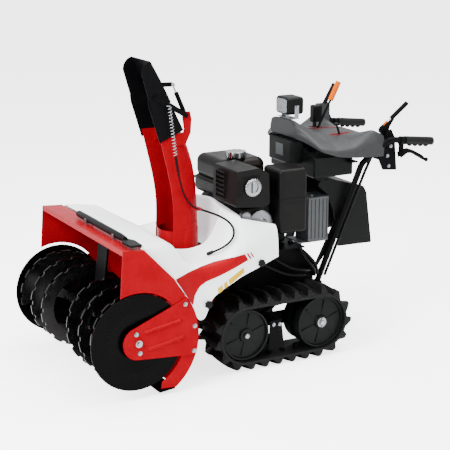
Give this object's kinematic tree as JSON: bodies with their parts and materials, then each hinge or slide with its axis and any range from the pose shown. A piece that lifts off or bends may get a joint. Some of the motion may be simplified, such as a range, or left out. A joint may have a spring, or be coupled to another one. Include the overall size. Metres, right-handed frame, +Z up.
{
  "type": "two stage snowblower",
  "caption": "Walk-behind two stage snow thrower on rubber tracks: open auger housing, impeller, turning chute with tilting deflector, engine, console and hand levers.",
  "frame": {"origin": "on the ground, under the middle of the whole machine", "axes": "+Z up, -Y is the driving direction, +X is the machine's left side"},
  "size_m": [0.852, 1.652, 1.244],
  "materials": {
    "aluminium": "cast",
    "auger_black": "gloss black paint",
    "battery_grey": "ribbed",
    "black_paint": "semi-gloss powder coat",
    "black_plastic": "textured",
    "bright_steel": "machined",
    "cast_iron": "painted casting",
    "chrome_cap": "satin chrome",
    "console_grey": "textured",
    "engine_plastic": "textured",
    "orange_grip": "soft grip",
    "red_paint": "gloss powder coat",
    "rubber": "moulded",
    "tank_paint": "satin paint",
    "white_cover": "moulded, satin gloss",
    "zinc": "zinc plated"
  },
  "bodies": {
    "frame": {"auger_housing": "red_paint", "scraper_blade": "black_paint", "gearbox_stay": "black_paint", "auger_arms": "red_paint", "gear_case": "cast_iron", "impeller_casing": "red_paint", "drive_belt": "rubber", "deflector_cable": "rubber", "body_cover": "white_cover", "main_frame": "black_paint", "transmission_case": "cast_iron", "engine_block": "cast_iron", "crankcase_cover": "aluminium", "fuel_tank": "tank_paint", "carburettor_cover": "engine_plastic", "rear_cowl": "engine_plastic", "muffler": "cast_iron", "battery": "battery_grey", "rear_cover": "black_plastic", "track_belts": "rubber", "track_frames": "black_paint", "handle_frame": "black_paint", "grips": "rubber", "console_panel": "console_grey", "console_base": "black_plastic", "control_box": "black_plastic", "control_cables": "rubber", "fasteners": "zinc"},
    "auger": {"auger_shaft": "bright_steel", "auger_discs": "auger_black", "auger_flights": "auger_black"},
    "impeller": {"impeller_shaft": "bright_steel", "impeller_fan": "red_paint", "impeller_pulley": "cast_iron"},
    "crank": {"engine_pulley": "cast_iron"},
    "chute": {"chute_tube": "red_paint", "chute_ring_gear": "black_plastic", "deflector_lower": "black_paint", "deflector_stay": "black_paint", "chute_cable": "rubber", "deflector_spring": "bright_steel"},
    "chute_pinion": {"chute_pinion": "black_plastic"},
    "deflector": {"deflector_upper": "black_paint"},
    "strut_barrel": {"strut_barrel": "black_paint"},
    "strut_rod": {"strut_rod": "zinc"},
    "drive_wheel_left": {"drive_wheel_left": "black_plastic"},
    "drive_wheel_right": {"drive_wheel_right": "black_plastic"},
    "idler_left": {"idler_left": "black_plastic"},
    "idler_right": {"idler_right": "black_plastic"},
    "fuel_cap": {"fuel_cap": "chrome_cap"},
    "choke_dial": {"choke_dial": "chrome_cap"},
    "clutch_lever_left": {"clutch_lever_left": "black_paint"},
    "clutch_lever_right": {"clutch_lever_right": "black_paint"},
    "deadman_lever_left": {"deadman_lever_left": "black_paint"},
    "deadman_lever_right": {"deadman_lever_right": "black_paint"},
    "shift_lever": {"shift_lever": "orange_grip"},
    "throttle_lever": {"throttle_lever": "black_plastic"},
    "joystick": {"joystick": "black_plastic"},
    "headlamp": {"headlamp": "black_plastic"},
    "clearing_stick": {"clearing_stick": "black_plastic"}
  },
  "joints": [
    {"name": "impeller_spin", "type": "hinge", "parent": "frame", "child": "impeller", "pos_m": [0, -0.262, 0.28], "axis": [0, 1, 0], "continuous": true},
    {"name": "auger_spin", "type": "hinge", "parent": "frame", "child": "auger", "pos_m": [0, -0.636, 0.23], "axis": [1, 0, 0], "continuous": true},
    {"name": "crank_spin", "type": "hinge", "parent": "frame", "child": "crank", "pos_m": [0, -0.098, 0.545], "axis": [0, 1, 0], "continuous": true},
    {"name": "chute_turn", "type": "hinge", "parent": "frame", "child": "chute", "pos_m": [0, -0.262, 0.461], "axis": [0, 0, 1], "range_deg": [-100, 100]},
    {"name": "chute_pinion_spin", "type": "hinge", "parent": "frame", "child": "chute_pinion", "pos_m": [0, -0.152, 0.457], "axis": [0, 0, 1], "range_deg": [-405, 405]},
    {"name": "deflector_tilt", "type": "hinge", "parent": "chute", "child": "deflector", "pos_m": [0, -0.396, 1.101], "axis": [1, 0, 0], "range_deg": [0, 40]},
    {"name": "strut_swing", "type": "hinge", "parent": "chute", "child": "strut_barrel", "pos_m": [0.05, -0.252, 1.024], "axis": [1, 0, 0], "range_deg": [0, 45]},
    {"name": "strut_eye", "type": "hinge", "parent": "deflector", "child": "strut_rod", "pos_m": [0.05, -0.303, 1.141], "axis": [1, 0, 0], "range_deg": [-60, 0]},
    {"name": "drive_wheel_left_spin", "type": "hinge", "parent": "frame", "child": "drive_wheel_left", "pos_m": [0.263, -0.121, 0.15], "axis": [1, 0, 0], "continuous": true},
    {"name": "drive_wheel_right_spin", "type": "hinge", "parent": "frame", "child": "drive_wheel_right", "pos_m": [-0.263, -0.121, 0.15], "axis": [1, 0, 0], "continuous": true},
    {"name": "idler_left_spin", "type": "hinge", "parent": "frame", "child": "idler_left", "pos_m": [0.263, 0.235, 0.15], "axis": [1, 0, 0], "continuous": true},
    {"name": "idler_right_spin", "type": "hinge", "parent": "frame", "child": "idler_right", "pos_m": [-0.263, 0.235, 0.15], "axis": [1, 0, 0], "continuous": true},
    {"name": "fuel_cap_turn", "type": "hinge", "parent": "frame", "child": "fuel_cap", "pos_m": [0, 0.012, 0.812], "axis": [0, 0, 1], "range_deg": [0, 90]},
    {"name": "choke_turn", "type": "hinge", "parent": "frame", "child": "choke_dial", "pos_m": [0.255, -0.052, 0.738], "axis": [1, 0, 0], "range_deg": [0, 90]},
    {"name": "clutch_left", "type": "hinge", "parent": "frame", "child": "clutch_lever_left", "pos_m": [0.256, 0.664, 0.806], "axis": [1, 0, 0], "range_deg": [0, 14], "stiffness_Nm_per_rad": 3, "springref_deg": -17.19},
    {"name": "clutch_right", "type": "hinge", "parent": "frame", "child": "clutch_lever_right", "pos_m": [-0.256, 0.664, 0.806], "axis": [1, 0, 0], "range_deg": [0, 14], "stiffness_Nm_per_rad": 3, "springref_deg": -17.19},
    {"name": "deadman_left", "type": "hinge", "parent": "frame", "child": "deadman_lever_left", "pos_m": [0.222, 0.602, 0.835], "axis": [1, 0, 0], "range_deg": [-30, 0], "stiffness_Nm_per_rad": 6, "springref_deg": 22.92},
    {"name": "deadman_right", "type": "hinge", "parent": "frame", "child": "deadman_lever_right", "pos_m": [-0.222, 0.602, 0.835], "axis": [1, 0, 0], "range_deg": [-50, 0], "stiffness_Nm_per_rad": 6, "springref_deg": 22.92},
    {"name": "shift_swing", "type": "hinge", "parent": "frame", "child": "shift_lever", "pos_m": [0, 0.385, 0.846], "axis": [1, 0, 0], "range_deg": [-20, 20]},
    {"name": "throttle_swing", "type": "hinge", "parent": "frame", "child": "throttle_lever", "pos_m": [0.11, 0.462, 0.846], "axis": [1, 0, 0], "range_deg": [-15, 15]},
    {"name": "joystick_tilt", "type": "hinge", "parent": "frame", "child": "joystick", "pos_m": [-0.06, 0.432, 0.852], "axis": [1, 0, 0], "range_deg": [-8, 8], "stiffness_Nm_per_rad": 6},
    {"name": "headlamp_tilt", "type": "hinge", "parent": "frame", "child": "headlamp", "pos_m": [0, 0.272, 1.006], "axis": [1, 0, 0], "range_deg": [-12, 12]},
    {"name": "stick_lift", "type": "slide", "parent": "frame", "child": "clearing_stick", "axis": [0, 0, 1], "range_m": [0, 0.15]}
  ],
  "couplings": [
    {"joint": "auger_spin", "follows": "impeller_spin", "ratio": 0.1},
    {"joint": "crank_spin", "follows": "impeller_spin", "ratio": 2.1351},
    {"joint": "chute_pinion_spin", "follows": "chute_turn", "ratio": -4},
    {"joint": "strut_swing", "follows": "deflector_tilt", "ratio": 0.155},
    {"joint": "strut_eye", "follows": "deflector_tilt", "ratio": -0.845},
    {"joint": "idler_left_spin", "follows": "drive_wheel_left_spin", "ratio": 0.9676},
    {"joint": "idler_right_spin", "follows": "drive_wheel_right_spin", "ratio": 0.9676}
  ]
}
